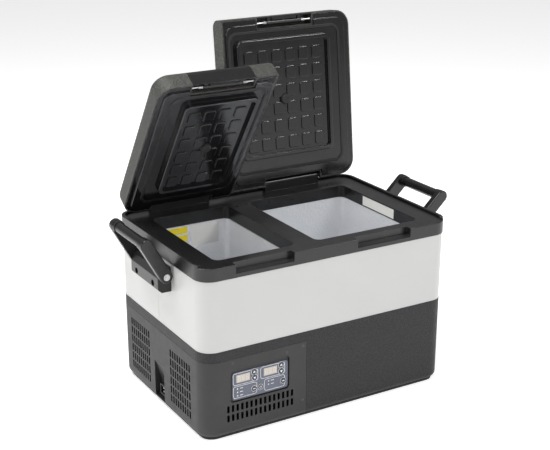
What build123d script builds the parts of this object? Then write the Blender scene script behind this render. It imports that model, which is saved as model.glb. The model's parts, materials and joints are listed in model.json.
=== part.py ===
"""Portable two-zone compressor fridge with two lids, two swing handles and a machine compartment.

All sizes are in millimetres. The origin is the centre of the footprint at floor level,
+X to the right, +Y to the rear, +Z up. Sizes given "from the left" and "from the front"
are turned into that frame by the helpers below.
"""
import math
import os

from build123d import *

# ---------------------------------------------------------------- driving dimensions
WIDTH, DEPTH = 575.0, 386.0          # footprint of the cabinet at the top rim
CORNER_R = 34.0                      # vertical corner radius of cabinet and lids
FOOT_H, FOOT_GAP = 2.5, 0.3          # rubber pads let into the base pan
PAN_TOP = 5.0                        # the base pan lies under the lower shell
WRAP_Z0, WRAP_Z1 = 188.2, 333.3      # white steel wrap
DECK_Z = 359.7                       # top of the rim's deck
LIP_H, LIP_W = 4.4, 7.5              # raised lip round the left, rear and right of the deck
WALL = 3.0                           # moulded wall
BASE_INSET, WRAP_INSET = 1.0, 1.5    # how far each ring stands inside the rim

COVER_X1, COVER_TOP = 231.0, 167.0   # machine cover: right edge from the left, top edge
SEAM = 0.5                           # gap between machine cover and lower shell

OPEN_Y0, OPEN_Y1 = 36.0, 317.0       # both openings, from the front
SMALL_X0, SMALL_X1 = 48.0, 226.0     # small zone opening, from the left
LARGE_X0, LARGE_X1 = 273.0, 521.0    # large zone opening, from the left
OPEN_R = 14.0                        # corner radius of the openings in the deck
LINER_T = 1.0
LINER_GAP = 0.4                      # liner stands this far inside the collar
SMALL_FLOOR, LARGE_FLOOR = 190.0, 42.0

HINGE_Y, HINGE_Z = 365.2, 377.6      # lid hinge axis, from the front and above the floor
SMALL_LID_OPEN, LARGE_LID_OPEN = 55.6, 96.1   # opening angles of the stored pose, degrees
LID_Z0, LID_Z1 = 364.9, 408.3        # closed lid: lower edge of the cover, top
LID_Y0, LID_Y1 = 3.4, 370.0
LID_SPLIT, LID_GAP = 257.0, 2.0      # the lids part here, from the left
LID_TOP_R = 18.0
FRAME_Z, CREST_Z = 361.2, 350.6      # lid liner: raised frame, top of the sealing plug's wall
FLOOR_Z, PAD_Z = 357.2, 354.6        # lid liner: recessed floor, pads on it
HINGE_W = 138.5                      # knuckle block of the rim
PIN_R = 3.0
RUN_FIT = 0.06                       # radial clearance of pins in their bores

SMALL_LATCH_X, LARGE_LATCH_X = 137.0, 411.0   # latch centres, from the left
SMALL_HINGE_X, LARGE_HINGE_X = 136.0, 414.0   # hinge centres, from the left
LATCH_W = 136.0                      # latch pocket in the lid
LATCH_Y, LATCH_Z = 16.5, 370.3       # latch rod of a closed lid
LATCH_ROD_R = 2.0

HANDLE_PIVOT_OUT, HANDLE_PIVOT_Z = 14.0, 311.0   # outward of the cabinet side, height
HANDLE_ARM = 80.0                    # pivot to grip
LEFT_HANDLE_TILT, RIGHT_HANDLE_TILT = 29.0, 46.0  # outward from upright in the stored pose
BRACKET_Y0, BRACKET_Y1 = 131.0, 255.0
ARM_T, ARM_W = 14.0, 26.0

PANEL_Y = 4.0                        # depth of the control panel recess
BUTTON_TRAVEL = 0.8

os.makedirs("parts", exist_ok=True)
NODES = {}


# ---------------------------------------------------------------- helpers
def at(x, y, z):
    """Location from the left, from the front and above the floor."""
    return Pos(x - WIDTH / 2, y - DEPTH / 2, z)


def block(x0, x1, y0, y1, z0, z1):
    return at((x0 + x1) / 2, (y0 + y1) / 2, (z0 + z1) / 2) * Box(x1 - x0, y1 - y0, z1 - z0)


def prism(x0, x1, y0, y1, z0, z1, r):
    """Block with rounded vertical corners."""
    outline = RectangleRounded(x1 - x0, y1 - y0, r)
    return at((x0 + x1) / 2, (y0 + y1) / 2, z0) * extrude(outline, z1 - z0)


def inset_prism(d, z0, z1):
    """The cabinet's own outline, moved in by d."""
    return prism(d, WIDTH - d, d, DEPTH - d, z0, z1, CORNER_R - d)


def top_edges(shape):
    return shape.faces().sort_by(Axis.Z)[-1].edges()


def bottom_edges(shape):
    return shape.faces().sort_by(Axis.Z)[0].edges()


def rod_x(x0, x1, y, z, r):
    """Cylinder along X."""
    return at((x0 + x1) / 2, y, z) * Rot(0, 90, 0) * Cylinder(r, x1 - x0)


def rod_y(x, y0, y1, z, r):
    """Cylinder along Y."""
    return at(x, (y0 + y1) / 2, z) * Rot(90, 0, 0) * Cylinder(r, y1 - y0)


def rod_z(x, y, z0, z1, r):
    return at(x, y, (z0 + z1) / 2) * Cylinder(r, z1 - z0)


def slab_x(x0, x1):
    """Everything between two planes across the cabinet."""
    return block(x0, x1, -50, DEPTH + 50, -50, 500)


def save(name, *shapes):
    NODES[name] = list(shapes)


def mirror_x(shape):
    """The same piece on the other side of the cabinet."""
    return mirror(shape, Plane.YZ)


# ---------------------------------------------------------------- lower housing
def tub(outer_inset, z0, fillet_r):
    body = inset_prism(outer_inset, z0, WRAP_Z0)
    return fillet(bottom_edges(body), fillet_r)


def lower_ring():
    """Closed-bottom wall that the lower shell and the machine cover are both cut from."""
    ring = tub(BASE_INSET, PAN_TOP, 12) - tub(BASE_INSET + WALL, PAN_TOP + WALL, 9)
    return ring - inset_prism(26, 0, 40)


def base_shell():
    shell = lower_ring() - block(-5, COVER_X1 + SEAM, -5, DEPTH + 5, -5, COVER_TOP + SEAM)
    rib_in = BASE_INSET + WALL
    backing = inset_prism(rib_in, 152, 184) - inset_prism(rib_in + 2, 150, 186)
    upright = inset_prism(rib_in, 19, 160) - inset_prism(rib_in + 2, 12, 162)
    upright = upright & block(COVER_X1 - 12, COVER_X1 + 14, -5, DEPTH + 5, 0, 200)
    return shell + backing + upright


def slots(cx, cz, columns, rows, pitch_h, pitch_v, w, h, depth, face):
    """A grid of upright vent slots through the front or the left wall."""
    cutter = []
    for i in range(columns):
        for k in range(rows):
            u = cx + (i - (columns - 1) / 2) * pitch_h
            v = cz + (k - (rows - 1) / 2) * pitch_v
            slot = extrude(RectangleRounded(w, h, w * 0.3), depth, both=True)
            if face == "front":
                cutter.append(at(u, 0, v) * Rot(90, 0, 0) * slot)
            else:
                cutter.append(at(0, u, v) * Rot(0, 90, 0) * Rot(0, 0, 90) * slot)
    return cutter


PANEL_X0, PANEL_X1, PANEL_Z0, PANEL_Z1 = 58.0, 191.5, 74.5, 145.5
POCKET_Y0, POCKET_Y1, POCKET_Z0, POCKET_Z1 = 178.0, 222.0, 11.0, 90.0
POCKET_DEPTH = 15.0
SOCKET_Z0, SOCKET_Z1 = 15.0, 43.0
GRILLE_Y = (103.0, 289.0)
GRILLE_Z = 87.0
COVER_SCREWS_FRONT = [(64.8, 158.5), (186.0, 153.0), (223.0, 158.5), (223.0, 40.0)]
COVER_SCREWS_SIDE = [326.0, 197.5, 66.6]
SIDE_SCREW_Z = 157.0


def power_pocket_void():
    """Recess with a sloping back, deepest where the socket sits."""
    face_x = BASE_INSET - 3
    profile = [(face_x, POCKET_Z1), (BASE_INSET + 1, POCKET_Z1), (BASE_INSET + POCKET_DEPTH, SOCKET_Z1 + 2),
               (BASE_INSET + POCKET_DEPTH, POCKET_Z0), (face_x, POCKET_Z0)]
    points = [(x - WIDTH / 2, z) for x, z in profile]
    face = Plane.XZ * make_face(Polyline(*points, close=True))
    solid = extrude(face, POCKET_Y1 - POCKET_Y0)
    return Pos(0, POCKET_Y1 - DEPTH / 2, 0) * solid


def machine_cover():
    cover = lower_ring() & block(-5, COVER_X1, -5, DEPTH + 5, -5, COVER_TOP)
    x_in = BASE_INSET + POCKET_DEPTH + WALL
    pocket_box = block(BASE_INSET + 1, x_in, POCKET_Y0 - WALL, POCKET_Y1 + WALL, POCKET_Z0 - 2, POCKET_Z1 + WALL)
    panel_box = prism(PANEL_X0 - WALL, PANEL_X1 + WALL, BASE_INSET + 1, BASE_INSET + PANEL_Y + WALL,
                      PANEL_Z0 - WALL, PANEL_Z1 + WALL, 1.5)
    cover = cover + pocket_box + panel_box
    cover = cover - power_pocket_void()
    recess = extrude(RectangleRounded(PANEL_X1 - PANEL_X0, PANEL_Z1 - PANEL_Z0, 8), PANEL_Y + 3)
    recess_at = at((PANEL_X0 + PANEL_X1) / 2, BASE_INSET + PANEL_Y, (PANEL_Z0 + PANEL_Z1) / 2)
    cover = cover - recess_at * Rot(90, 0, 0) * recess
    cutters = slots(126, 52, 15, 2, 10.3, 19.6, 5.6, 15.0, 9, "front")
    for y in GRILLE_Y:
        cutters += slots(y, GRILLE_Z, 9, 6, 10.4, 20.0, 6.2, 16.4, 9, "left")
    cutters += [rod_y(x, -5, 6, z, 1.7) for x, z in COVER_SCREWS_FRONT]
    cutters += [rod_x(-5, 6, y, SIDE_SCREW_Z, 1.7) for y in COVER_SCREWS_SIDE]
    cutters.append(block(BASE_INSET, x_in + 5, POCKET_Y0 + 8, POCKET_Y1 - 10, SOCKET_Z0 + 2, SOCKET_Z1 - 2))
    return cover - cutters


def pan_head_front(x, z):
    head = rod_y(x, BASE_INSET - 0.1, BASE_INSET + 1.3, z, 3.0) + rod_y(x, BASE_INSET + 1.3, BASE_INSET + 8, z, 1.5)
    cross = block(x - 0.4, x + 0.4, BASE_INSET - 1, BASE_INSET + 0.6, z - 1.8, z + 1.8)
    cross += block(x - 1.8, x + 1.8, BASE_INSET - 1, BASE_INSET + 0.6, z - 0.4, z + 0.4)
    return head - cross


def pan_head_side(y, z):
    head = rod_x(BASE_INSET - 0.1, BASE_INSET + 1.3, y, z, 3.0) + rod_x(BASE_INSET + 1.3, BASE_INSET + 8, y, z, 1.5)
    cross = block(BASE_INSET - 1, BASE_INSET + 0.6, y - 0.4, y + 0.4, z - 1.8, z + 1.8)
    cross += block(BASE_INSET - 1, BASE_INSET + 0.6, y - 1.8, y + 1.8, z - 0.4, z + 0.4)
    return head - cross


def countersinks():
    cuts = [rod_y(x, -2, BASE_INSET + 1.35, z, 3.3) for x, z in COVER_SCREWS_FRONT]
    return cuts + [rod_x(-2, BASE_INSET + 1.35, y, SIDE_SCREW_Z, 3.3) for y in COVER_SCREWS_SIDE]


def screw_bores():
    """Clearance for the cover screws in the backing rib of the lower shell."""
    cuts = [rod_y(x, 3, 12, z, 1.6) for x, z in COVER_SCREWS_FRONT]
    return cuts + [rod_x(3, 12, y, SIDE_SCREW_Z, 1.6) for y in COVER_SCREWS_SIDE]


def feet(grow):
    """Flush rubber pads let into the base pan, or their pockets."""
    half = 17 + grow
    return [prism(x - half, x + half, y - half, y + half, 0, FOOT_H, 8 + grow)
            for x in (50, WIDTH - 50) for y in (50, DEPTH - 50)]


def housing():
    save("base_shell", base_shell() - screw_bores())
    save("machine_cover", machine_cover() - countersinks())
    save("cover_screws", *[pan_head_front(x, z) for x, z in COVER_SCREWS_FRONT],
         *[pan_head_side(y, SIDE_SCREW_Z) for y in COVER_SCREWS_SIDE])
    pan = inset_prism(9, 0, PAN_TOP) + (inset_prism(27, PAN_TOP, PAN_TOP + WALL + 1) - inset_prism(29, PAN_TOP, 40))
    save("base_pan", pan - feet(FOOT_GAP))
    save("rubber_feet", *feet(0))
    seam_gap = block(-5, 5, DEPTH / 2 - 0.3, DEPTH / 2 + 0.3, 0, 400)
    wrap = inset_prism(WRAP_INSET, WRAP_Z0, WRAP_Z1) - inset_prism(WRAP_INSET + 1.2, 0, 400)
    save("steel_wrap", wrap - seam_gap)


# ---------------------------------------------------------------- top rim
def latch_recess(cx):
    """Finger recess at the front of the rim, with a sloping floor."""
    z_rear, z_front, y_rear = 345.2, 341.0, 14.5
    profile = [(-5, DECK_Z + 5), (y_rear, DECK_Z + 5), (y_rear, z_rear), (12.0, z_rear), (0, z_front), (-5, z_front)]
    points = [(y - DEPTH / 2, z) for y, z in profile]
    face = Plane.YZ * make_face(Polyline(*points, close=True))
    cut = Pos(cx - 64 - WIDTH / 2, 0, 0) * extrude(face, 128)
    return cut


def knuckle(cx):
    """Block that carries the hinge pin."""
    half = HINGE_W / 2
    post = block(cx - half, cx + half, HINGE_Y - 5.5, HINGE_Y + 5.5, DECK_Z - 3, HINGE_Z)
    head = rod_x(cx - half, cx + half, HINGE_Y, HINGE_Z, 6.5)
    gusset = block(cx - half + 4, cx + half - 4, HINGE_Y + 5, HINGE_Y + 12, DECK_Z - 3, DECK_Z + 3.0)
    return post + head + gusset


def opening(x0, x1, z0, z1, grow=0.0):
    return prism(x0 - grow, x1 + grow, OPEN_Y0 - grow, OPEN_Y1 + grow, z0, z1, OPEN_R + grow)


def top_rim():
    body = inset_prism(0, WRAP_Z1, DECK_Z)
    lip = inset_prism(0, DECK_Z - 1, DECK_Z + LIP_H) - inset_prism(LIP_W, DECK_Z - 2, DECK_Z + 10)
    lip = fillet(lip.faces().sort_by(Axis.Z)[-1].edges(), 1.5)
    lip = lip - block(-5, WIDTH + 5, -5, 20, DECK_Z - 2, DECK_Z + 10)
    groove = inset_prism(LIP_W, DECK_Z - 1.6, DECK_Z + 1) - inset_prism(LIP_W + 5, DECK_Z - 3, DECK_Z + 3)
    groove = groove - block(-5, WIDTH + 5, -5, 22, 300, 400)
    body = body - block(-5, WIDTH + 5, -5, -1, 0, 1)
    body = fillet(top_edges(body), 1.5) + lip - groove
    body = body + knuckle(SMALL_HINGE_X) + knuckle(LARGE_HINGE_X)
    collar = 3.0
    rail = inset_prism(WRAP_INSET + 1.3, WRAP_Z1 - 8, WRAP_Z1 + 1) - inset_prism(WRAP_INSET + 4, 300, 400)
    body = body + rail
    hollow_z = DECK_Z - 4.0
    hollow = inset_prism(4.0, WRAP_Z1 - 1, hollow_z)
    for x0, x1 in ((SMALL_X0, SMALL_X1), (LARGE_X0, LARGE_X1)):
        hollow = hollow - opening(x0, x1, 300, 400, collar)
    for cx in (SMALL_LATCH_X, LARGE_LATCH_X):
        hollow = hollow - block(cx - 70, cx + 70, 0, 22, 300, 400)
    keep_pin = block(0, WIDTH, HINGE_Y - 8, DEPTH, 300, 400)
    hollow = hollow - keep_pin - inset_prism(0, 300, WRAP_Z1 - 1)
    body = body - hollow
    for x0, x1 in ((SMALL_X0, SMALL_X1), (LARGE_X0, LARGE_X1)):
        hole = opening(x0, x1, WRAP_Z1 - 20, DECK_Z + 0.01)
        body = body - hole
    for cx in (SMALL_LATCH_X, LARGE_LATCH_X):
        body = body - latch_recess(cx)
    for cx in (SMALL_HINGE_X, LARGE_HINGE_X):
        body = body - rod_x(cx - 90, cx + 90, HINGE_Y, HINGE_Z, PIN_R + RUN_FIT)
    body = body - block(LIGHT_X - 0.1, LIGHT_X + 2.2, LIGHT_Y0, LIGHT_Y1, LIGHT_Z0, LIGHT_Z1)
    return body


LIGHT_X, LIGHT_Y0, LIGHT_Y1, LIGHT_Z0, LIGHT_Z1 = LARGE_X1, 121.5, 236.5, 335.6, 356.8


def liner(x0, x1, floor):
    r = OPEN_R + 3
    g = LINER_GAP

    def cup(d, z):
        body = prism(x0 + g + d, x1 - g - d, OPEN_Y0 + g + d, OPEN_Y1 - g - d, z, WRAP_Z1 - 0.2, r - d)
        return fillet(bottom_edges(body), 10 - d)

    flange = prism(x0 - 2.6, x1 + 2.6, OPEN_Y0 - 2.6, OPEN_Y1 + 2.6, WRAP_Z1 - 1.2, WRAP_Z1 - 0.2, r)
    tub_outer = cup(0, floor)
    tub_inner = cup(LINER_T, floor + LINER_T)
    return tub_outer + flange - tub_inner


def foam():
    mass = inset_prism(WRAP_INSET + 4.6, 172, WRAP_Z1 - 9)
    low = inset_prism(BASE_INSET + WALL + 2.8, 14, 173) & slab_x(236.5, WIDTH)
    mass = mass + low
    gap = 8.0
    for x0, x1, floor in ((SMALL_X0, SMALL_X1, SMALL_FLOOR), (LARGE_X0, LARGE_X1, LARGE_FLOOR)):
        mass = mass - prism(x0 - gap, x1 + gap, OPEN_Y0 - gap, OPEN_Y1 + gap, floor - 2, 400, 20)
    return mass


def evaporator(x0, x1, z_list):
    """Refrigerant tube wound round the outside of a liner."""
    r, off = 2.6, 3.6
    w, d = x1 - x0 + 2 * off, OPEN_Y1 - OPEN_Y0 + 2 * off
    cx, cy = (x0 + x1) / 2, (OPEN_Y0 + OPEN_Y1) / 2
    loop = RectangleRounded(w, d, 20).wire()
    parts = []
    for z in z_list:
        start = loop @ 0
        ring = sweep(Plane(origin=start, z_dir=loop % 0) * Circle(r), path=loop)
        parts.append(at(cx, cy, z) * ring)
    riser = rod_z(cx, OPEN_Y1 + off, min(z_list), max(z_list), r - 0.3)
    body = parts[0]
    for p in parts[1:]:
        body = body + p
    return body + riser


def bulkhead():
    """Sheet that closes the machine compartment off from the insulation."""
    top = inset_prism(BASE_INSET + WALL + 2.4, 169.6, 171.2) & slab_x(0, 236)
    side = inset_prism(BASE_INSET + WALL + 3.2, 14, 171.2) & slab_x(234.4, 236)
    return top + side


# ---------------------------------------------------------------- machine compartment
def compressor():
    can = rod_z(165, 255, 24, 132, 52)
    can = fillet(can.edges().filter_by(GeomType.CIRCLE), 16)
    feet = block(108, 222, 215, 295, 20, 24.5)
    terminal = block(205, 226, 240, 270, 60, 90)
    stub = rod_z(140, 290, 100, 150, 4)
    return can + feet + terminal + stub


def compressor_mounts():
    return [rod_z(x, y, PAN_TOP, 20, 7) - rod_z(x, y, 0, 30, 3) for x in (114, 216) for y in (221, 289)]


def condenser():
    fins = [block(22, 50, y, y + 0.8, 22, 150) for y in range(56, 150, 6)]
    return fins


def condenser_tube():
    x, tubes = 36, []
    for i, z in enumerate((34, 60, 86, 112, 138)):
        tubes.append(rod_y(x, 50, 154, z, 3.5))
    return tubes


def fan_shroud():
    frame = block(54, 76, 58, 148, 24, 148)
    frame = frame - rod_x(50, 80, 103, 86, 42)
    spokes = block(72, 75, 60, 146, 84, 88) + block(72, 75, 101, 105, 26, 146)
    hub = rod_x(70, 75.5, 103, 86, 13)
    axle = rod_x(57, 72, 103, 86, 2.0)
    return frame + spokes + hub + axle


def fan_rotor():
    hub = rod_x(57, 69.4, 103, 86, 14)
    blades = []
    for k in range(7):
        blade = at(63, 103, 86) * Rot(k * 360 / 7, 0, 0) * Pos(0, 0, 26) * Rot(0, 0, 32) * Box(1.6, 15, 28)
        blades.append(blade)
    rotor = hub
    for b in blades:
        rotor = rotor + b
    return rotor - rod_x(50, 80, 103, 86, 2.0 + RUN_FIT)


def machine_room():
    save("compressor", compressor())
    save("compressor_mounts", *compressor_mounts())
    fins = condenser()
    holes = [rod_y(36, 40, 160, z, 3.55) for z in (34, 60, 86, 112, 138)]
    save("condenser_fins", *[f - holes for f in fins])
    save("condenser_tubes", *condenser_tube())
    save("fan_shroud", fan_shroud())
    save("fan_rotor", fan_rotor())
    board = block(70, 180, 24, 26, 78, 142)
    chips = block(85, 105, 26, 34, 90, 115) + block(120, 160, 26, 30, 100, 125)
    save("control_board", board + chips)
    drier = rod_z(95, 330, 40, 130, 10)
    save("filter_drier", fillet(drier.edges().filter_by(GeomType.CIRCLE), 5))


# ---------------------------------------------------------------- control panel and socket
OVERLAY_X0, OVERLAY_X1, OVERLAY_Z0, OVERLAY_Z1 = 64.5, 189.0, 77.0, 136.0
DISPLAYS = [(73.5, 103.5, 113.5, 129.5), (134.5, 164.5, 113.5, 129.5)]
BUTTONS = {
    "small_zone_up_button": (113.0, 128.4, 5.6),
    "small_zone_down_button": (113.9, 115.4, 5.6),
    "large_zone_up_button": (173.9, 128.4, 5.6),
    "large_zone_down_button": (174.1, 115.0, 5.6),
    "set_button": (112.5, 92.2, 5.2),
    "power_button": (127.3, 91.6, 5.2),
    "mode_button": (178.6, 92.8, 5.2),
}


def control_panel():
    y_face = BASE_INSET + PANEL_Y - 1.6
    w, h = OVERLAY_X1 - OVERLAY_X0, OVERLAY_Z1 - OVERLAY_Z0
    place = at((OVERLAY_X0 + OVERLAY_X1) / 2, BASE_INSET + PANEL_Y, (OVERLAY_Z0 + OVERLAY_Z1) / 2)
    plate = place * Rot(90, 0, 0) * extrude(RectangleRounded(w, h, 5), 1.6)
    windows = []
    for x0, x1, z0, z1 in DISPLAYS:
        plate = plate - block(x0, x1, -5, 20, z0, z1)
        windows.append(block(x0, x1, y_face - 0.15, y_face + 1.55, z0, z1))
    bores = [rod_y(x, -5, 20, z, r + 0.25) for x, z, r in BUTTONS.values()]
    save("control_panel", plate - bores)
    save("display_windows", *windows)
    stop_y = BASE_INSET + PANEL_Y
    for name, (x, z, r) in BUTTONS.items():
        cap = rod_y(x, y_face - 0.9, stop_y - 0.05 - BUTTON_TRAVEL, z, r)
        save(name, cap)


def socket():
    back = BASE_INSET + POCKET_DEPTH
    y0, y1 = POCKET_Y0 + 8.5, POCKET_Y1 - 10.5
    body = block(back - 9, back + 8, y0, y1, SOCKET_Z0 + 2.5, SOCKET_Z1 - 2.5)
    mouth = block(back - 12, back - 1, y0 + 3, y1 - 3, SOCKET_Z0 + 5.5, SOCKET_Z1 - 5.5)
    save("power_socket", body - mouth)
    cy = (y0 + y1) / 2
    pins = [rod_x(back - 7, back - 1, cy, z, 1.6) for z in (SOCKET_Z0 + 10, SOCKET_Z1 - 10)]
    save("socket_pins", *pins)


# ---------------------------------------------------------------- lids
def lid_outer(d):
    """The shape that both lids are cut from, moved in by d."""
    body = prism(d, WIDTH - d, LID_Y0 + d, LID_Y1 - d, LID_Z0, LID_Z1 - d, CORNER_R - d)
    return fillet(top_edges(body), LID_TOP_R - d)


OUTER, INNER = lid_outer(0), lid_outer(WALL)
FOAM_CORE = lid_outer(WALL + 0.6)


def soft_edges(shape, x, r):
    """Rounds the upper edge of a lid along its straight inner side."""
    edges = [e for e in shape.edges() if abs(e.center().X - (x - WIDTH / 2)) < 0.01
             and e.center().Z > LID_Z0 + 20 and abs(e.length) > 200]
    return fillet(edges, r) if edges else shape


def latch_pocket(cx, grow):
    half = LATCH_W / 2
    return block(cx - half - grow, cx + half + grow, LID_Y0 - 20, 27 + grow, LID_Z0 - 10, 403 + grow)


def hinge_notch(cx, grow):
    half = HINGE_W / 2 + 1.5
    return block(cx - half - grow, cx + half + grow, 354 - grow, LID_Y1 + 30, LID_Z0 - 10, 388 + grow)


def lid_cover(x0, x1, latch_x, hinge_x):
    cover = OUTER & slab_x(x0, x1)
    inner_side = x1 if x0 < 10 else x0
    cover = soft_edges(cover, inner_side, 3)
    hollow = INNER & slab_x(x0 + (WALL if x0 > 10 else 0), x1 - (WALL if x1 < WIDTH - 10 else 0))
    hollow = hollow - latch_pocket(latch_x, WALL) - hinge_notch(hinge_x, WALL)
    cover = cover - hollow
    ears = [rod_x(a, b, HINGE_Y, HINGE_Z, 6.5) for a, b in ear_spans(hinge_x)]
    cover = cover + [e & block(0, WIDTH, 300, LID_Y1, 300, 500) for e in ears]
    cover = cover - latch_pocket(latch_x, 0) - hinge_notch(hinge_x, 0)
    cover = cover - rod_x(hinge_x - 84, hinge_x + 84, HINGE_Y, HINGE_Z, PIN_R + RUN_FIT)
    half = LATCH_W / 2
    return cover - rod_x(latch_x - half - 2, latch_x + half + 2, LATCH_Y, LATCH_Z, LATCH_ROD_R + RUN_FIT)


def ear_spans(cx):
    half = HINGE_W / 2 + 1.5
    return [(cx - half - 14, cx - half), (cx + half, cx + half + 14)]


def lid_openings(x0, x1):
    """(gasket outline, plug outline, centre of the pads) of a lid, from the left and the front."""
    if x0 < 10:
        return (28.0, 241.0), (60.0, 223.0), 139.0
    return (267.0, 547.0), (284.0, 516.0), 398.0


RING_Y0, RING_Y1 = 30.0, 337.5
PLUG_Y0, PLUG_Y1 = 49.0, 305.0
PAD_ROWS, PAD_PITCH_X, PAD_PITCH_Y = 6, 33.8, 37.8
PAD_W, PAD_L = 24.0, 28.0
PADS_Y = 181.5


def lid_liner(x0, x1, latch_x, hinge_x):
    ring, plug, pad_x = lid_openings(x0, x1)
    left_wall = WALL + 0.4
    a, b = x0 + left_wall, x1 - left_wall
    plate = prism(WALL + 0.4, WIDTH - WALL - 0.4, LID_Y0 + WALL + 0.4, LID_Y1 - WALL - 0.4,
                  LID_Z0, LID_Z0 + 2.5, CORNER_R - WALL) & slab_x(a, b)
    frame_in = 14.0
    fx0, fx1 = (x0 + frame_in, x1 - 7) if x0 < 10 else (x0 + 7, x1 - frame_in)
    frame = prism(fx0, fx1, LID_Y0 + frame_in, LID_Y1 - 12, FRAME_Z, LID_Z0 + 1, 18)
    frame = fillet(bottom_edges(frame), 1.5)
    liner_body = plate + frame
    crest = prism(plug[0], plug[1], PLUG_Y0, PLUG_Y1, CREST_Z, FRAME_Z + 1, 13)
    crest = fillet(bottom_edges(crest), 2.2)
    liner_body = liner_body + crest
    well = prism(plug[0] + 8, plug[1] - 8, PLUG_Y0 + 8, PLUG_Y1 - 8, CREST_Z - 5, FLOOR_Z, 8)
    liner_body = liner_body - well
    gutter = prism(ring[0], ring[1], RING_Y0, RING_Y1, FRAME_Z - 3, FRAME_Z + 1.8, 22)
    gutter = gutter - prism(ring[0] + 6.4, ring[1] - 6.4, RING_Y0 + 6.4, RING_Y1 - 6.4, 340, 370, 16)
    liner_body = liner_body - gutter
    columns = 4 if x0 < 10 else 6
    one = extrude(RectangleRounded(PAD_W, PAD_L, 5), -(FLOOR_Z - PAD_Z + 0.5))
    one = fillet(bottom_edges(one), 1.4)
    pads = []
    for i in range(columns):
        for k in range(PAD_ROWS):
            px = pad_x + (i - (columns - 1) / 2) * PAD_PITCH_X
            py = PADS_Y + (k - (PAD_ROWS - 1) / 2) * PAD_PITCH_Y
            pads.append(at(px, py, FLOOR_Z + 0.5) * one)
    liner_body = liner_body + pads
    liner_body = liner_body - rod_z(pad_x, PADS_Y, 340, FLOOR_Z + 3, 11.3)
    clear = [rod_x(s - 0.5, e + 0.5, HINGE_Y, HINGE_Z, 8) for s, e in ear_spans(hinge_x)]
    return liner_body - latch_pocket(latch_x, WALL + 0.3) - hinge_notch(hinge_x, WALL + 0.3) - clear


def lid_foam(x0, x1, latch_x, hinge_x):
    core = FOAM_CORE & block(x0 + WALL + 0.6, x1 - WALL - 0.6, 0, DEPTH, LID_Z0 + 3, 500)
    clear = [rod_x(s - 1, e + 1, HINGE_Y, HINGE_Z, 9) for s, e in ear_spans(hinge_x)]
    return core - latch_pocket(latch_x, WALL + 0.6) - hinge_notch(hinge_x, WALL + 0.6) - clear


def lid_gasket(x0, x1):
    ring, _, _ = lid_openings(x0, x1)
    c = 0.25
    outer = prism(ring[0] + c, ring[1] - c, RING_Y0 + c, RING_Y1 - c, DECK_Z + 0.35, FRAME_Z + 1.7, 22 - c)
    outer = fillet(bottom_edges(outer), 1.0)
    w = 6.4 - c
    hole = prism(ring[0] + w, ring[1] - w, RING_Y0 + w, RING_Y1 - w, 340, 370, 16 - c)
    return outer - hole


def lid_vent_plug(x0, x1):
    _, _, pad_x = lid_openings(x0, x1)
    plug = rod_z(pad_x, PADS_Y, PAD_Z - 4.0, FLOOR_Z + 2.9, 11.0)
    plug = fillet(plug.faces().sort_by(Axis.Z)[0].edges(), 2.4)
    return plug - rod_z(pad_x, PADS_Y, PAD_Z - 5, PAD_Z - 3.2, 5.0)


def latch_lever(cx):
    half = LATCH_W / 2 - 1.2
    shell = OUTER - lid_outer(WALL - 0.2)
    flap = shell & block(cx - half, cx + half, -5, 22, LID_Z0 + 0.6, 400)
    barrel = rod_x(cx - 42, cx + 42, LATCH_Y, LATCH_Z, 4.6)
    webs = [block(cx + a, cx + b, LID_Y0 + 1, LATCH_Y, LATCH_Z - 3.5, LATCH_Z + 3.5)
            for a, b in ((-42, -34), (-4, 4), (34, 42))]
    lever = flap + barrel + webs
    lip = block(cx - 30, cx + 30, LID_Y0 + 1, LID_Y0 + 8, LID_Z0 + 0.6, LID_Z0 + 2.6)
    lever = lever + lip
    return lever - rod_x(cx - 60, cx + 60, LATCH_Y, LATCH_Z, LATCH_ROD_R + RUN_FIT)


def latch_springs(cx):
    springs = []
    for s in (-1, 1):
        mid = cx + s * 48
        coil = rod_x(mid - 4.5, mid + 4.5, LATCH_Y, LATCH_Z, 4.3) - rod_x(mid - 6, mid + 6, LATCH_Y, LATCH_Z, 2.8)
        springs.append(coil + block(mid - 0.7, mid + 0.7, LATCH_Y + 3, 26.5, LATCH_Z + 2.4, LATCH_Z + 3.8))
    return springs


def latch_rod(cx):
    half = LATCH_W / 2 + 1.8
    return rod_x(cx - half, cx + half, LATCH_Y, LATCH_Z, LATCH_ROD_R)


def swing(shape, angle):
    """Opens a closed-lid shape about the hinge axis."""
    axis = Axis((0, HINGE_Y - DEPTH / 2, HINGE_Z), (1, 0, 0))
    return shape.rotate(axis, -angle)


def lid(prefix, x0, x1, latch_x, hinge_x, angle):
    pieces = {
        "lid_cover": [lid_cover(x0, x1, latch_x, hinge_x)],
        "lid_liner": [lid_liner(x0, x1, latch_x, hinge_x)],
        "lid_foam": [lid_foam(x0, x1, latch_x, hinge_x)],
        "lid_gasket": [lid_gasket(x0, x1)],
        "lid_vent_plug": [lid_vent_plug(x0, x1)],
        "latch_lever": [latch_lever(latch_x)],
        "latch_rod": [latch_rod(latch_x)],
        "latch_springs": latch_springs(latch_x),
    }
    for name, shapes in pieces.items():
        save(f"{prefix}_{name}", *[swing(s, angle) for s in shapes])


def hinge_pins():
    pins = []
    for cx in (SMALL_HINGE_X, LARGE_HINGE_X):
        pins.append(rod_x(cx - 83, cx + 83, HINGE_Y, HINGE_Z, PIN_R))
    return pins


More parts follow.
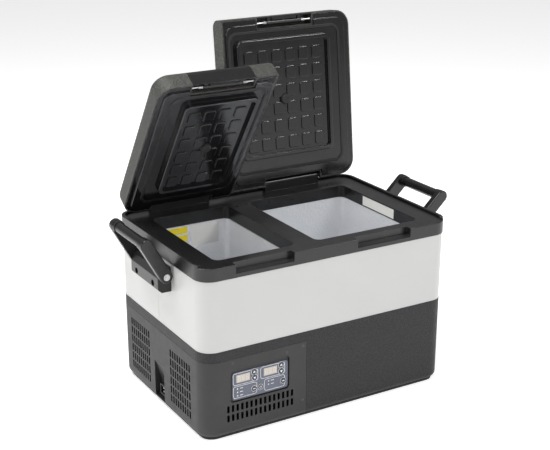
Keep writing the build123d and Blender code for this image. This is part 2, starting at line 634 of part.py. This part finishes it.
# ---------------------------------------------------------------- handles
def bracket():
    """Left bracket; its ends carry the handle pivots."""
    out = 27.0
    profile = [(WRAP_INSET, 275), (-19, 275), (-out, 282), (-out, 306), (-20, 322), (WRAP_INSET, 326)]
    points = [(x - WIDTH / 2, z) for x, z in profile]
    face = Plane.XZ * make_face(Polyline(*points, close=True))
    body = Pos(0, BRACKET_Y1 - DEPTH / 2, 0) * extrude(face, BRACKET_Y1 - BRACKET_Y0)
    body = fillet(body.edges().filter_by(Axis.Y).sort_by(Axis.X)[:3], 4)
    body = body - rod_y(-HANDLE_PIVOT_OUT, BRACKET_Y0 - 1, BRACKET_Y0 + 16, HANDLE_PIVOT_Z, 4.0)
    body = body - rod_y(-HANDLE_PIVOT_OUT, BRACKET_Y1 - 16, BRACKET_Y1 + 1, HANDLE_PIVOT_Z, 4.0)
    for y in (BRACKET_Y0 + 24, BRACKET_Y1 - 24):
        body = body - rod_x(-40, 5, y, 290, 2.6) - rod_x(-40, -4, y, 290, 6.5)
    return body


def bracket_screws():
    return [rod_x(-8.6, -4.2, y, 290, 5.0) + rod_x(-5, 1.4, y, 290, 2.4) for y in (BRACKET_Y0 + 24, BRACKET_Y1 - 24)]


def arm(y0, y1):
    """Upright handle arm; its foot turns on the pivot, its head holds the grip."""
    px, pz, w = -HANDLE_PIVOT_OUT, HANDLE_PIVOT_Z, ARM_W / 2
    top = pz + HANDLE_ARM
    body = block(px - w, px + w, y0, y1, pz, top)
    body = body + rod_y(px, y0, y1, pz, w) + rod_y(px, y0, y1, top, w)
    body = fillet(body.edges().filter_by(lambda e: abs(e.center().Y - (y0 if y0 < 190 else y1) + DEPTH / 2) < 0.01), 2.5)
    return body


def handle(side_arms=True):
    y_in0, y_in1 = BRACKET_Y0 - 1.0, BRACKET_Y1 + 1.0
    px, pz = -HANDLE_PIVOT_OUT, HANDLE_PIVOT_Z
    top = pz + HANDLE_ARM
    front, rear = arm(y_in0 - ARM_T, y_in0), arm(y_in1, y_in1 + ARM_T)
    bores = rod_y(px, 0, DEPTH, pz, 4.0 + RUN_FIT)
    sinks = [rod_y(px, y_in0 - ARM_T - 5, y_in0 - ARM_T + 3.2, pz, 7.0),
             rod_y(px, y_in1 + ARM_T - 3.2, y_in1 + ARM_T + 5, pz, 7.0)]
    seat = [rod_y(px, y_in0 - 9, y_in1 + 9, top, 8.1)]
    front, rear = front - bores - sinks - seat, rear - bores - sinks - seat
    grip = rod_y(px, y_in0, y_in1, top, 10.5) + rod_y(px, y_in0 - 8.5, y_in1 + 8.5, top, 8.0)
    for y in (y_in0, y_in1 - 9):
        grip = grip + rod_y(px, y, y + 9, top, 12.3)
    return front, rear, grip


def pivots():
    """Shoulder screws that the arms turn on, with wide flat heads."""
    y_in0, y_in1 = BRACKET_Y0 - 1.0, BRACKET_Y1 + 1.0
    px, pz = -HANDLE_PIVOT_OUT, HANDLE_PIVOT_Z
    front = rod_y(px, y_in0 - ARM_T + 0.2, y_in0 - ARM_T + 3.0, pz, 6.6)
    front = front + rod_y(px, y_in0 - ARM_T + 2.8, BRACKET_Y0 + 15, pz, 4.0 - 0.0)
    rear = rod_y(px, y_in1 + ARM_T - 3.0, y_in1 + ARM_T - 0.2, pz, 6.6)
    rear = rear + rod_y(px, BRACKET_Y1 - 15, y_in1 + ARM_T - 2.8, pz, 4.0 - 0.0)
    return [front, rear]


def tilt(shape, angle):
    """Swings a left-hand handle piece outward from upright."""
    axis = Axis((-HANDLE_PIVOT_OUT - WIDTH / 2, 0, HANDLE_PIVOT_Z), (0, -1, 0))
    return shape.rotate(axis, angle)


def handles():
    front, rear, grip = handle()
    for side, angle in (("left", LEFT_HANDLE_TILT), ("right", RIGHT_HANDLE_TILT)):
        place = (lambda s: s) if side == "left" else mirror_x
        save(f"{side}_handle_front_arm", place(tilt(front, angle)))
        save(f"{side}_handle_rear_arm", place(tilt(rear, angle)))
        save(f"{side}_handle_grip", place(tilt(grip, angle)))
        save(f"{side}_handle_bracket", place(bracket()))
    save("bracket_screws", *bracket_screws(), *[mirror_x(s) for s in bracket_screws()])
    save("handle_pivots", *pivots(), *[mirror_x(s) for s in pivots()])


# ---------------------------------------------------------------- assembly
def build():
    housing()
    save("top_rim", top_rim())
    save("light_lens", block(LIGHT_X + 0.3, LIGHT_X + 2.1, LIGHT_Y0 + 0.2, LIGHT_Y1 - 0.2,
                             LIGHT_Z0 + 0.2, LIGHT_Z1 - 0.2))
    save("small_zone_liner", liner(SMALL_X0, SMALL_X1, SMALL_FLOOR))
    save("large_zone_liner", liner(LARGE_X0, LARGE_X1, LARGE_FLOOR))
    save("insulation", foam())
    save("small_evaporator", evaporator(SMALL_X0, SMALL_X1, (210, 240, 270, 300)))
    save("large_evaporator", evaporator(LARGE_X0, LARGE_X1, (70, 110, 150, 190, 230, 270)))
    save("bulkhead", bulkhead())
    machine_room()
    control_panel()
    socket()
    save("hinge_pins", *hinge_pins())
    lid("small", 0, LID_SPLIT - LID_GAP / 2, SMALL_LATCH_X, SMALL_HINGE_X, SMALL_LID_OPEN)
    lid("large", LID_SPLIT + LID_GAP / 2, WIDTH, LARGE_LATCH_X, LARGE_HINGE_X, LARGE_LID_OPEN)
    handles()


build()
for name, shapes in NODES.items():
    solids = [s for shape in shapes for s in shape.solids()]
    export_step(Compound(children=solids) if len(solids) > 1 else solids[0], f"parts/{name}.step")
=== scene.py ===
import json
import math

import bmesh
import bpy
from mathutils import Matrix, Vector


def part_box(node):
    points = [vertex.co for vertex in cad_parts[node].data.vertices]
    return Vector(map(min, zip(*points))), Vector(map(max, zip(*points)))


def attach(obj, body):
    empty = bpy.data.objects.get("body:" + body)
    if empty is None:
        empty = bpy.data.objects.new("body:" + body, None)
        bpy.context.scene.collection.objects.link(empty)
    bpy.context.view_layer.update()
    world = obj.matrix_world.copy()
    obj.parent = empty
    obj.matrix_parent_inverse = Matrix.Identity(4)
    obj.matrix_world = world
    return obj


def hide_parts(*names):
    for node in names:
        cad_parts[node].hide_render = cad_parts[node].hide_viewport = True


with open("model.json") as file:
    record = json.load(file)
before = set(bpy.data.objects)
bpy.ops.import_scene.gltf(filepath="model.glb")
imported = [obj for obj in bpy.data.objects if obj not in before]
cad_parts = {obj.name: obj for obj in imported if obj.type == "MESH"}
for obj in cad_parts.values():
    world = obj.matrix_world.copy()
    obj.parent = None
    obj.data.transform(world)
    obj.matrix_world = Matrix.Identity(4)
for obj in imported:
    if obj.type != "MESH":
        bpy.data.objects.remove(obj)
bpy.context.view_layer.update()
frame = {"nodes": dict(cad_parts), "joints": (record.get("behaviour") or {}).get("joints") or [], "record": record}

MM = 0.001
NODES = frame["nodes"]
RECORD = frame["record"]
JOINTS = {joint["name"]: joint for joint in frame["joints"]}


# ------------------------------------------------------------------ camera
CAMERA_AT = Vector((-1.1827, -1.9686, 1.1379))
CAMERA_YAW, CAMERA_PITCH, CAMERA_ROLL = 0.515, 0.357, -0.005   # right of +Y, below level, about the view
LENS, SENSOR = 76.5, 36.0
SHIFT_X, SHIFT_Y = 0.040, 0.050


def make_camera():
    forward = Vector((math.sin(CAMERA_YAW) * math.cos(CAMERA_PITCH),
                      math.cos(CAMERA_YAW) * math.cos(CAMERA_PITCH),
                      -math.sin(CAMERA_PITCH)))
    right = Vector((math.cos(CAMERA_YAW), -math.sin(CAMERA_YAW), 0))
    up = right.cross(forward)
    c, s = math.cos(CAMERA_ROLL), math.sin(CAMERA_ROLL)
    right, up = c * right + s * up, c * up - s * right
    data = bpy.data.cameras.new("camera")
    data.lens, data.sensor_width = LENS, SENSOR
    data.shift_x, data.shift_y = SHIFT_X, SHIFT_Y
    camera = bpy.data.objects.new("camera", data)
    axes = Matrix((right, up, -forward)).transposed()
    camera.matrix_world = Matrix.Translation(CAMERA_AT) @ axes.to_4x4()
    bpy.context.scene.collection.objects.link(camera)
    bpy.context.scene.camera = camera


# ------------------------------------------------------------------ light and floor
WORLD_COLOUR, WORLD_STRENGTH = (1.0, 1.0, 1.0, 1.0), 0.30


LIGHTS = (
    ("overhead", (-0.9, 0.4, 3.0), 1.5, 75),
    ("front", (0.3, -3.2, 1.7), 1.2, 19),
    ("left", (-2.8, -0.2, 1.4), 1.2, 24),
    ("right_high", (1.8, -1.9, 2.7), 0.7, 42),
)


def area_light(name, at, target, size, power):
    data = bpy.data.lights.new(name, "AREA")
    data.shape, data.size, data.energy = "SQUARE", size, power
    lamp = bpy.data.objects.new(name, data)
    lamp.location = at
    lamp.rotation_euler = (Vector(target) - Vector(at)).to_track_quat("-Z", "Y").to_euler()
    bpy.context.scene.collection.objects.link(lamp)


def make_light():
    world = bpy.data.worlds.new("studio")
    bpy.context.scene.world = world
    world.use_nodes = True
    background = world.node_tree.nodes["Background"]
    background.inputs["Color"].default_value = WORLD_COLOUR
    background.inputs["Strength"].default_value = WORLD_STRENGTH
    for name, at, size, power in LIGHTS:
        area_light(name, at, (0, 0, 0.3), size, power)
    bpy.context.scene.view_settings.view_transform = "Standard"


FLOOR_GLOW = 0.5


def make_floor():
    mesh = bpy.data.meshes.new("floor")
    bm = bmesh.new()
    bmesh.ops.create_grid(bm, x_segments=8, y_segments=8, size=30)
    bm.to_mesh(mesh)
    bm.free()
    floor = bpy.data.objects.new("floor", mesh)
    bpy.context.scene.collection.objects.link(floor)
    look = Look("floor", (0.94, 0.94, 0.94), 0.9)
    look.bump(40, 0.02, 0.0004)
    look.shader.inputs["Emission Color"].default_value = (1.0, 1.0, 1.0, 1.0)
    look.shader.inputs["Emission Strength"].default_value = FLOOR_GLOW
    mesh.materials.append(look.material)


# ------------------------------------------------------------------ materials
class Look:
    """A node material, built up one effect at a time over a Principled shader."""

    def __init__(self, name, colour, roughness, metallic=0.0, specular=0.5):
        self.material = bpy.data.materials.new(name)
        self.material.use_nodes = True
        self.nodes = self.material.node_tree.nodes
        self.links = self.material.node_tree.links
        self.shader = self.nodes["Principled BSDF"]
        self.shader.inputs["Metallic"].default_value = metallic
        self.shader.inputs["Specular IOR Level"].default_value = specular
        self.shader.inputs["Roughness"].default_value = roughness
        self.base = (*colour, 1.0)
        self.shader.inputs["Base Color"].default_value = self.base
        self.place = self.nodes.new("ShaderNodeTexCoord").outputs["Object"]
        self.colour_out = None
        self.normal_out = None

    def noise(self, scale, detail=3.0, roughness=0.6):
        node = self.nodes.new("ShaderNodeTexNoise")
        node.inputs["Scale"].default_value = scale
        node.inputs["Detail"].default_value = detail
        node.inputs["Roughness"].default_value = roughness
        self.links.new(self.place, node.inputs["Vector"])
        return node.outputs["Fac"]

    def cells(self, scale):
        node = self.nodes.new("ShaderNodeTexVoronoi")
        node.inputs["Scale"].default_value = scale
        self.links.new(self.place, node.inputs["Vector"])
        return node.outputs["Distance"]

    def ramp(self, value, low, high):
        node = self.nodes.new("ShaderNodeMapRange")
        node.inputs["From Min"].default_value = low
        node.inputs["From Max"].default_value = high
        self.links.new(value, node.inputs["Value"])
        return node.outputs["Result"]

    def tint(self, mask, colour):
        """Blends another colour in where the mask is 1."""
        node = self.nodes.new("ShaderNodeMix")
        node.data_type = "RGBA"
        self.links.new(mask, node.inputs["Factor"])
        if self.colour_out is None:
            node.inputs["A"].default_value = self.base
        else:
            self.links.new(self.colour_out, node.inputs["A"])
        node.inputs["B"].default_value = (*colour, 1.0)
        self.colour_out = node.outputs["Result"]
        self.links.new(self.colour_out, self.shader.inputs["Base Color"])
        return self

    def vary_roughness(self, scale, low, high):
        node = self.nodes.new("ShaderNodeMapRange")
        node.inputs["To Min"].default_value = low
        node.inputs["To Max"].default_value = high
        self.links.new(self.noise(scale), node.inputs["Value"])
        self.links.new(node.outputs["Result"], self.shader.inputs["Roughness"])
        return self

    def bump(self, scale, strength, distance, cells=False):
        node = self.nodes.new("ShaderNodeBump")
        node.inputs["Strength"].default_value = strength
        node.inputs["Distance"].default_value = distance
        height = self.cells(scale) if cells else self.noise(scale)
        self.links.new(height, node.inputs["Height"])
        if self.normal_out is not None:
            self.links.new(self.normal_out, node.inputs["Normal"])
        self.normal_out = node.outputs["Normal"]
        self.links.new(self.normal_out, self.shader.inputs["Normal"])
        return self

    def round_edges(self, radius, wear=None):
        """Softens sharp edges, and lightens them where they are rubbed."""
        bevel = self.nodes.new("ShaderNodeBevel")
        bevel.samples = 4
        bevel.inputs["Radius"].default_value = radius
        self.normal_out = bevel.outputs["Normal"]
        self.links.new(self.normal_out, self.shader.inputs["Normal"])
        if wear is not None:
            flat = self.nodes.new("ShaderNodeNewGeometry")
            dot = self.nodes.new("ShaderNodeVectorMath")
            dot.operation = "DOT_PRODUCT"
            self.links.new(bevel.outputs["Normal"], dot.inputs[0])
            self.links.new(flat.outputs["Normal"], dot.inputs[1])
            rubbed = self.ramp(dot.outputs["Value"], 0.99, 0.86)
            self.tint(rubbed, wear)
        return self


def grained(name, colour, light, roughness, grain=900, depth=0.00012, wear=None, specular=0.5):
    """Moulded plastic with a fine grain and faint cloudiness."""
    look = Look(name, colour, roughness, specular=specular)
    look.round_edges(0.7 * MM, wear)
    look.tint(look.ramp(look.noise(14), 0.35, 0.7), light)
    look.vary_roughness(60, roughness - 0.07, roughness + 0.07)
    look.bump(grain, 0.45, depth)
    return look.material


def speckled(name):
    """Coarse blasted grain with pale flecks, as on the lid covers."""
    look = Look(name, (0.022, 0.023, 0.021), 0.62)
    look.round_edges(0.8 * MM)
    look.tint(look.ramp(look.noise(560, 2.0, 0.7), 0.50, 0.57), (0.115, 0.115, 0.10))
    look.tint(look.ramp(look.noise(800, 2.0), 0.54, 0.62), (0.006, 0.006, 0.006))
    look.vary_roughness(200, 0.5, 0.75)
    look.bump(520, 0.8, 0.0004)
    return look.material


def leathery(name):
    """Charcoal plastic with a raised leather grain."""
    look = Look(name, (0.010, 0.010, 0.011), 0.5, specular=0.3)
    look.round_edges(0.7 * MM)
    look.tint(look.ramp(look.cells(330), 0.25, 0.6), (0.022, 0.022, 0.024))
    look.vary_roughness(60, 0.44, 0.6)
    look.bump(330, 0.7, 0.0005, cells=True)
    look.bump(1200, 0.3, 0.0001)
    return look.material


def painted(name, colour, shade):
    look = Look(name, colour, 0.38)
    look.shader.inputs["Coat Weight"].default_value = 0.15
    look.shader.inputs["Coat Roughness"].default_value = 0.25
    look.tint(look.ramp(look.noise(3), 0.3, 0.8), shade)
    look.vary_roughness(25, 0.33, 0.45)
    look.bump(700, 0.12, 0.00008)
    return look.material


def stucco(name):
    """Thin aluminium sheet with an embossed pebble pattern."""
    look = Look(name, (0.93, 0.94, 0.96), 0.34, metallic=0.6)
    look.tint(look.ramp(look.noise(5), 0.3, 0.75), (0.84, 0.85, 0.87))
    look.vary_roughness(80, 0.28, 0.42)
    look.bump(210, 0.8, 0.0012, cells=True)
    look.bump(90, 0.35, 0.0012)
    return look.material


def glossy(name, colour, light, roughness=0.16, grain=260, strength=0.12, specular=0.5, edge=0.6 * MM):
    look = Look(name, colour, roughness, specular=specular)
    look.round_edges(edge)
    look.tint(look.ramp(look.noise(8), 0.35, 0.75), light)
    look.vary_roughness(45, roughness - 0.04, roughness + 0.08)
    look.bump(grain, strength, 0.00025)
    return look.material


def metal(name, colour, roughness, scratch=600):
    look = Look(name, colour, roughness, metallic=1.0)
    look.round_edges(0.25 * MM)
    dark = tuple(0.6 * channel for channel in colour)
    look.tint(look.ramp(look.noise(120), 0.45, 0.8), dark)
    look.vary_roughness(scratch, roughness - 0.1, roughness + 0.12)
    look.bump(scratch, 0.15, 0.00005)
    return look.material


BLACK, DEEP = (0.012, 0.012, 0.013), (0.006, 0.006, 0.0065)
LOOKS = {
    "base_plastic": lambda: leathery("base_plastic"),
    "cover_plastic": lambda: grained("cover_plastic", (0.014, 0.014, 0.0155), (0.019, 0.019, 0.0205), 0.52,
                                     1100, 0.00008, (0.05, 0.05, 0.052)),
    "pan_plastic": lambda: grained("pan_plastic", BLACK, DEEP, 0.7),
    "rubber": lambda: grained("rubber", (0.012, 0.012, 0.012), (0.018, 0.018, 0.018), 0.68, 500),
    "white_steel": lambda: painted("white_steel", (0.50, 0.498, 0.492), (0.465, 0.463, 0.457)),
    "rim_plastic": lambda: grained("rim_plastic", (0.007, 0.007, 0.0075), (0.012, 0.012, 0.0125), 0.3,
                                   900, 0.0001, (0.05, 0.05, 0.052)),
    "lens_plastic": lambda: glossy("lens_plastic", (0.82, 0.82, 0.78), (0.74, 0.74, 0.70), 0.3),
    "liner_aluminium": lambda: stucco("liner_aluminium"),
    "foam": lambda: grained("foam", (0.72, 0.62, 0.38), (0.64, 0.52, 0.3), 0.85, 300, 0.0006),
    "tube_aluminium": lambda: metal("tube_aluminium", (0.78, 0.78, 0.79), 0.32),
    "galvanised_sheet": lambda: metal("galvanised_sheet", (0.55, 0.57, 0.58), 0.45, 90),
    "compressor_paint": lambda: glossy("compressor_paint", (0.012, 0.012, 0.012), (0.02, 0.02, 0.02), 0.28),
    "copper_tube": lambda: metal("copper_tube", (0.85, 0.45, 0.28), 0.3),
    "fan_plastic": lambda: grained("fan_plastic", BLACK, (0.02, 0.02, 0.02), 0.5),
    "circuit_board": lambda: glossy("circuit_board", (0.02, 0.12, 0.05), (0.03, 0.16, 0.07), 0.3),
    "panel_overlay": lambda: glossy("panel_overlay", (0.075, 0.085, 0.12), (0.095, 0.105, 0.145), 0.2,
                                    900, 0.03),
    "display": lambda: glossy("display", (0.52, 0.47, 0.42), (0.46, 0.42, 0.37), 0.18, 900, 0.02),
    "button_plastic": lambda: glossy("button_plastic", (0.02, 0.024, 0.036), (0.03, 0.034, 0.05), 0.3,
                                     900, 0.05),
    "socket_plastic": lambda: grained("socket_plastic", (0.006, 0.006, 0.006), BLACK, 0.45),
    "pin_metal": lambda: metal("pin_metal", (0.75, 0.75, 0.76), 0.28),
    "screw_steel": lambda: metal("screw_steel", (0.10, 0.10, 0.105), 0.4),
    "lid_plastic": lambda: speckled("lid_plastic"),
    "lid_liner_plastic": lambda: glossy("lid_liner_plastic", (0.005, 0.0048, 0.0056), (0.009, 0.0085, 0.010),
                                        0.12, 60, 0.04, 0.7, 1.0 * MM),
    "gasket_rubber": lambda: glossy("gasket_rubber", (0.008, 0.008, 0.008), (0.013, 0.013, 0.013), 0.35),
    "handle_plastic": lambda: grained("handle_plastic", (0.007, 0.007, 0.0075), (0.012, 0.012, 0.0125), 0.3,
                                      700, 0.0001, (0.045, 0.045, 0.046)),
}


def dress_cad():
    made = {}
    for part in RECORD["subparts"]:
        slot = part["material_slot"]
        if slot not in made:
            made[slot] = LOOKS[slot]()
        mesh = NODES[part["node"]].data
        mesh.materials.clear()
        mesh.materials.append(made[slot])
    return made


# ------------------------------------------------------------------ mesh helpers
def piece_from(bm, name, body, material):
    bmesh.ops.recalc_face_normals(bm, faces=bm.faces)
    mesh = bpy.data.meshes.new(name)
    bm.to_mesh(mesh)
    bm.free()
    piece = bpy.data.objects.new(name, mesh)
    bpy.context.scene.collection.objects.link(piece)
    mesh.materials.append(material)
    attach(piece, body)
    return piece


def rounded_loop(cx, cz, w, h, r, steps=6):
    """Points (x, z) of a rounded rectangle, anticlockwise."""
    points = []
    for k, (sx, sz) in enumerate(((1, 1), (-1, 1), (-1, -1), (1, -1))):
        for i in range(steps + 1):
            a = math.pi / 2 * (k + i / steps)
            points.append((cx + sx * (w / 2 - r) + r * math.cos(a), cz + sz * (h / 2 - r) + r * math.sin(a)))
    return points


def add_plate(bm, points, y, thick):
    """Solid plate with the given (x, z) outline, its face at y."""
    front = [bm.verts.new((px, y, pz)) for px, pz in points]
    back = [bm.verts.new((px, y + thick, pz)) for px, pz in points]
    bm.faces.new(front)
    bm.faces.new(list(reversed(back)))
    for i in range(len(points)):
        j = (i + 1) % len(points)
        bm.faces.new((front[i], back[i], back[j], front[j]))


def add_band(bm, outer, inner, y, thick):
    """Solid closed band between two outlines with the same number of points."""
    rows = [[bm.verts.new((px, y + t, pz)) for px, pz in loop]
            for loop, t in ((outer, 0), (inner, 0), (inner, thick), (outer, thick))]
    count = len(outer)
    for a in range(4):
        for i in range(count):
            j = (i + 1) % count
            b = (a + 1) % 4
            bm.faces.new((rows[a][i], rows[a][j], rows[b][j], rows[b][i]))


# ------------------------------------------------------------------ control panel print
PRINT = 0.06 * MM
LINE = 0.9 * MM


def middle(node):
    low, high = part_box(node)
    return [(a + b) / 2 for a, b in zip(low, high)]


def add_frame(bm, x0, x1, z0, z1, y, r=5 * MM, line=LINE):
    cx, cz, w, h = (x0 + x1) / 2, (z0 + z1) / 2, x1 - x0, z1 - z0
    inner = rounded_loop(cx, cz, w - 2 * line, h - 2 * line, r - line)
    add_band(bm, rounded_loop(cx, cz, w, h, r), inner, y, PRINT)


def add_ring(bm, x, z, r, y, line=LINE):
    add_frame(bm, x - r, x + r, z - r, z + r, y, r * 0.999, line)


SEGMENTS = ((0, 1, True), (0, 0, True), (0, -1, True), (-1, 0.5, False), (1, 0.5, False), (-1, -0.5, False),
            (1, -0.5, False))


def add_digit(bm, x, z, w, h, y):
    """Seven slim bars in the shape of an eight."""
    t = 0.9 * MM
    for sx, sz, level in SEGMENTS:
        cx, cz = x + sx * w / 2, z + sz * h / 2
        a, b = (w / 2 - 0.5 * t, t / 2) if level else (t / 2, h / 4 - 0.5 * t)
        add_plate(bm, [(cx - a, cz - b), (cx + a, cz - b), (cx + a, cz + b), (cx - a, cz + b)], y, PRINT)


def panel_print():
    low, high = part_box("control_panel")
    y = low[1] - PRINT
    windows_low, windows_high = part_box("display_windows")
    window_w = 30 * MM
    white = glossy("white_print", (0.80, 0.80, 0.80), (0.70, 0.70, 0.72), 0.35, 900, 0.02)
    bm = bmesh.new()
    spans = []
    for side, x0 in (("small_zone", windows_low[0]), ("large_zone", windows_high[0] - window_w)):
        up, down = middle(side + "_up_button"), middle(side + "_down_button")
        left, right = x0 - 7.6 * MM, up[0] + 8.6 * MM
        add_frame(bm, left, right, windows_low[2] - 5.2 * MM, windows_high[2] + 4.4 * MM, y)
        spans.append((left, right))
        for spot in (up, down):
            add_ring(bm, spot[0], spot[2], 6.9 * MM, y)
    lower_top = windows_low[2] - 7.4 * MM
    lower_base = low[2] + 3.6 * MM
    power = middle("power_button")
    for k, name in enumerate(("set_button", "mode_button")):
        spot = middle(name)
        left, right = (spans[0][0], power[0] - 8.2 * MM) if k == 0 else (power[0] + 8.2 * MM, spans[1][1])
        add_frame(bm, left, right, lower_base, lower_top, y)
        for lamp in range(3 - k):
            z = lower_top - (5.6 + 7.4 * lamp) * MM
            x = left + 12 * MM
            add_plate(bm, rounded_loop(x + 6.6 * MM, z, 7 * MM, 1.3 * MM, 0.5 * MM, 3), y, PRINT)
    for name in ("set_button", "mode_button", "power_button"):
        spot = middle(name)
        add_ring(bm, spot[0], spot[2], 6.4 * MM, y)
    piece_from(bm, "panel_lines", "cabinet", white)

    bm = bmesh.new()
    for k in range(2):
        left = spans[0][0] if k == 0 else power[0] + 8.2 * MM
        for lamp in range(3 - k):
            z = lower_top - (5.6 + 7.4 * lamp) * MM
            dot = rounded_loop(left + 9.6 * MM, z, 3.2 * MM, 3.2 * MM, 1.5 * MM, 5)
            add_plate(bm, dot, y - 0.3 * MM, 0.3 * MM + PRINT)
    clear = glossy("lamp_lens", (0.62, 0.60, 0.55), (0.5, 0.5, 0.46), 0.15)
    piece_from(bm, "status_lamps", "cabinet", clear)

    digits = glossy("digit_print", (0.72, 0.69, 0.64), (0.66, 0.63, 0.58), 0.25, 900, 0.02)
    for side, x0 in (("small_zone", windows_low[0]), ("large_zone", windows_high[0] - window_w)):
        bm = bmesh.new()
        for i in range(3):
            cx = x0 + window_w * (0.2 + 0.3 * i)
            cz = (windows_low[2] + windows_high[2]) / 2
            add_digit(bm, cx, cz, 4.4 * MM, 9.4 * MM, windows_low[1] - PRINT)
        piece_from(bm, side + "_digits", "cabinet", digits)

    marks = {
        "small_zone_up_button": "up", "small_zone_down_button": "down", "large_zone_up_button": "up",
        "large_zone_down_button": "down", "set_button": "bar", "mode_button": "bar", "power_button": "power"}
    for name, mark in marks.items():
        x, _, z = middle(name)
        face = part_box(name)[0][1] - PRINT
        bm = bmesh.new()
        if mark in ("up", "down"):
            s = 1 if mark == "up" else -1
            tip = 3.0 * MM
            foot = z - s * 0.6 * tip
            add_plate(bm, [(x - tip, foot), (x + tip, foot), (x, z + s * tip)], face, PRINT)
        elif mark == "bar":
            add_plate(bm, rounded_loop(x, z, 6 * MM, 1.6 * MM, 0.7 * MM, 3), face, PRINT)
        else:
            add_ring(bm, x, z, 2.8 * MM, face, 0.8 * MM)
            add_plate(bm, rounded_loop(x, z + 2.2 * MM, 1.0 * MM, 3.4 * MM, 0.4 * MM, 3), face - PRINT, PRINT)
        piece_from(bm, name + "_mark", name, white)


# ------------------------------------------------------------------ latch springs
COIL_R, WIRE_R, COIL_TURNS, COIL_W = 3.6 * MM, 0.6 * MM, 4, 9 * MM


def latch_springs(made):
    for side in ("small", "large"):
        x, y, z = JOINTS[side + "_latch_pivot"]["pos_m"]
        node = side + "_latch_springs"
        low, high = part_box(node)
        for label, centre in (("left", low[0] + COIL_W / 2), ("right", high[0] - COIL_W / 2)):
            curve = bpy.data.curves.new(f"{side}_spring_{label}", "CURVE")
            curve.dimensions = "3D"
            curve.bevel_depth = WIRE_R
            curve.bevel_resolution = 3
            spline = curve.splines.new("POLY")
            steps = COIL_TURNS * 20
            spline.points.add(steps)
            for i in range(steps + 1):
                a = 2 * math.pi * i / 20
                px = centre + COIL_W * (i / steps - 0.5)
                spline.points[i].co = (px, y + COIL_R * math.cos(a), z + COIL_R * math.sin(a), 1)
            curve.materials.append(made["pin_metal"])
            piece = bpy.data.objects.new(curve.name, curve)
            bpy.context.scene.collection.objects.link(piece)
            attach(piece, side + "_lid")
            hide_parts(node)


# ------------------------------------------------------------------ blank labels in the small zone
LINER_LIP = 3.0 * MM      # the liner's flange stands this far outside its walls
LABEL_TOP, LABEL_T, LINER_SKIN = 3 * MM, 0.15 * MM, 1.0 * MM
YELLOW, PAPER = (0.85, 0.68, 0.02), (0.72, 0.72, 0.70)


def blank_labels():
    """Three plain stickers on the rear wall of the small liner."""
    low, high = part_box("small_zone_liner")
    wall_y = high[1] - LINER_LIP - LINER_SKIN
    top = high[2] - LABEL_TOP
    stickers = (
        ("label_yellow_upper", 24 * MM, 60 * MM, 0 * MM, 14 * MM, YELLOW),
        ("label_yellow_lower", 24 * MM, 60 * MM, 18 * MM, 14 * MM, YELLOW),
        ("label_white", 92 * MM, 66 * MM, 0 * MM, 46 * MM, PAPER),
    )
    for name, left, width, drop, height, colour in stickers:
        film = glossy(name + "_film", colour, tuple(0.9 * channel for channel in colour), 0.4, 900, 0.02)
        bm = bmesh.new()
        cx, cz = low[0] + left + width / 2, top - drop - height / 2
        add_plate(bm, rounded_loop(cx, cz, width, height, 2 * MM, 4), wall_y - LABEL_T - 0.02 * MM, LABEL_T)
        piece_from(bm, name, "cabinet", film)


make_camera()
make_light()
make_floor()
MADE = dress_cad()
panel_print()
latch_springs(MADE)
blank_labels()
